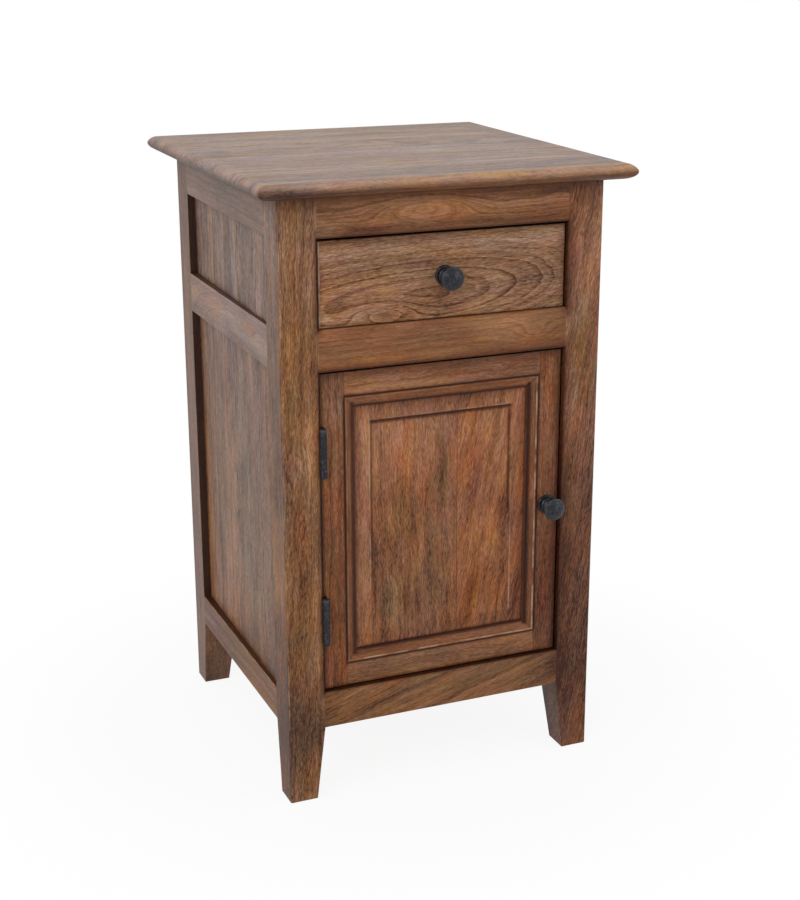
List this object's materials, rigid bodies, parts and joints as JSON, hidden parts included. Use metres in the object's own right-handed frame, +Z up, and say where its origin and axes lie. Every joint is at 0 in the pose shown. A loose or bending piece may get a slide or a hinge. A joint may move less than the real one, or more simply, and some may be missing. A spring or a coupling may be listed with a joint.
{
  "type": "nightstand",
  "caption": "Bedside cabinet of solid wood with a moulded overhanging top, tapered legs, a drawer on wooden runners and a panelled door hinged at the left.",
  "frame": {"origin": "on the floor, under the middle of the top", "axes": "+Z up, the drawer and the door face -Y, +X to the right as seen from the front"},
  "size_m": [0.4064, 0.4064, 0.6604],
  "materials": {
    "top_wood": "stained and waxed, satin",
    "carcass_wood": "stained and waxed, satin",
    "panel_wood": "stained and waxed, satin",
    "inner_wood": "stained and waxed, satin",
    "drawer_front_wood": "stained and waxed, satin",
    "door_frame_wood": "stained and waxed, satin",
    "door_panel_wood": "stained and waxed, satin",
    "black_iron": "worn black",
    "hinge_black": "black japanned, worn at the edges",
    "screw_steel": "zinc plated",
    "catch_plastic": "moulded brown"
  },
  "bodies": {
    "carcass": {"top_panel": "top_wood", "post_front_left": "carcass_wood", "post_front_right": "carcass_wood", "post_back_left": "carcass_wood", "post_back_right": "carcass_wood", "front_bottom_rail": "carcass_wood", "front_middle_rail": "carcass_wood", "front_top_rail": "carcass_wood", "back_bottom_rail": "carcass_wood", "back_top_rail": "carcass_wood", "side_bottom_rail_left": "carcass_wood", "side_middle_rail_left": "carcass_wood", "side_top_rail_left": "carcass_wood", "side_bottom_rail_right": "carcass_wood", "side_middle_rail_right": "carcass_wood", "side_top_rail_right": "carcass_wood", "side_lower_panel_left": "panel_wood", "side_upper_panel_left": "panel_wood", "side_lower_panel_right": "panel_wood", "side_upper_panel_right": "panel_wood", "back_panel": "panel_wood", "cabinet_floor": "inner_wood", "drawer_runner_left": "inner_wood", "drawer_runner_right": "inner_wood", "drawer_kicker_left": "inner_wood", "drawer_kicker_right": "inner_wood", "drawer_stops": "inner_wood", "top_cleat_front": "inner_wood", "top_cleat_back": "inner_wood", "upper_hinge_post_leaf": "hinge_black", "lower_hinge_post_leaf": "hinge_black", "hinge_pins": "hinge_black", "hinge_post_screws": "hinge_black", "top_screws": "screw_steel", "catch_screws": "screw_steel", "magnet_catch": "catch_plastic"},
    "drawer": {"drawer_front": "drawer_front_wood", "drawer_side_left": "inner_wood", "drawer_side_right": "inner_wood", "drawer_back": "inner_wood", "drawer_bottom": "inner_wood", "drawer_knob": "black_iron", "drawer_knob_screw": "screw_steel"},
    "door": {"door_stile_hinge_side": "door_frame_wood", "door_stile_latch_side": "door_frame_wood", "door_top_rail": "door_frame_wood", "door_bottom_rail": "door_frame_wood", "door_panel": "door_panel_wood", "door_moulding_top": "door_frame_wood", "door_moulding_bottom": "door_frame_wood", "door_moulding_left": "door_frame_wood", "door_moulding_right": "door_frame_wood", "door_knob": "black_iron", "door_knob_screw": "screw_steel", "strike_plate": "screw_steel", "strike_screw": "screw_steel", "hinge_door_screws": "hinge_black", "upper_hinge_door_leaf": "hinge_black", "lower_hinge_door_leaf": "hinge_black"}
  },
  "joints": [
    {"name": "drawer_slide", "type": "slide", "parent": "carcass", "child": "drawer", "axis": [0, -1, 0], "range_m": [0, 0.24]},
    {"name": "door_hinge", "type": "hinge", "parent": "carcass", "child": "door", "pos_m": [-0.1353, -0.18085, 0.2955], "axis": [0, 0, -1], "range_deg": [0, 178]}
  ]
}
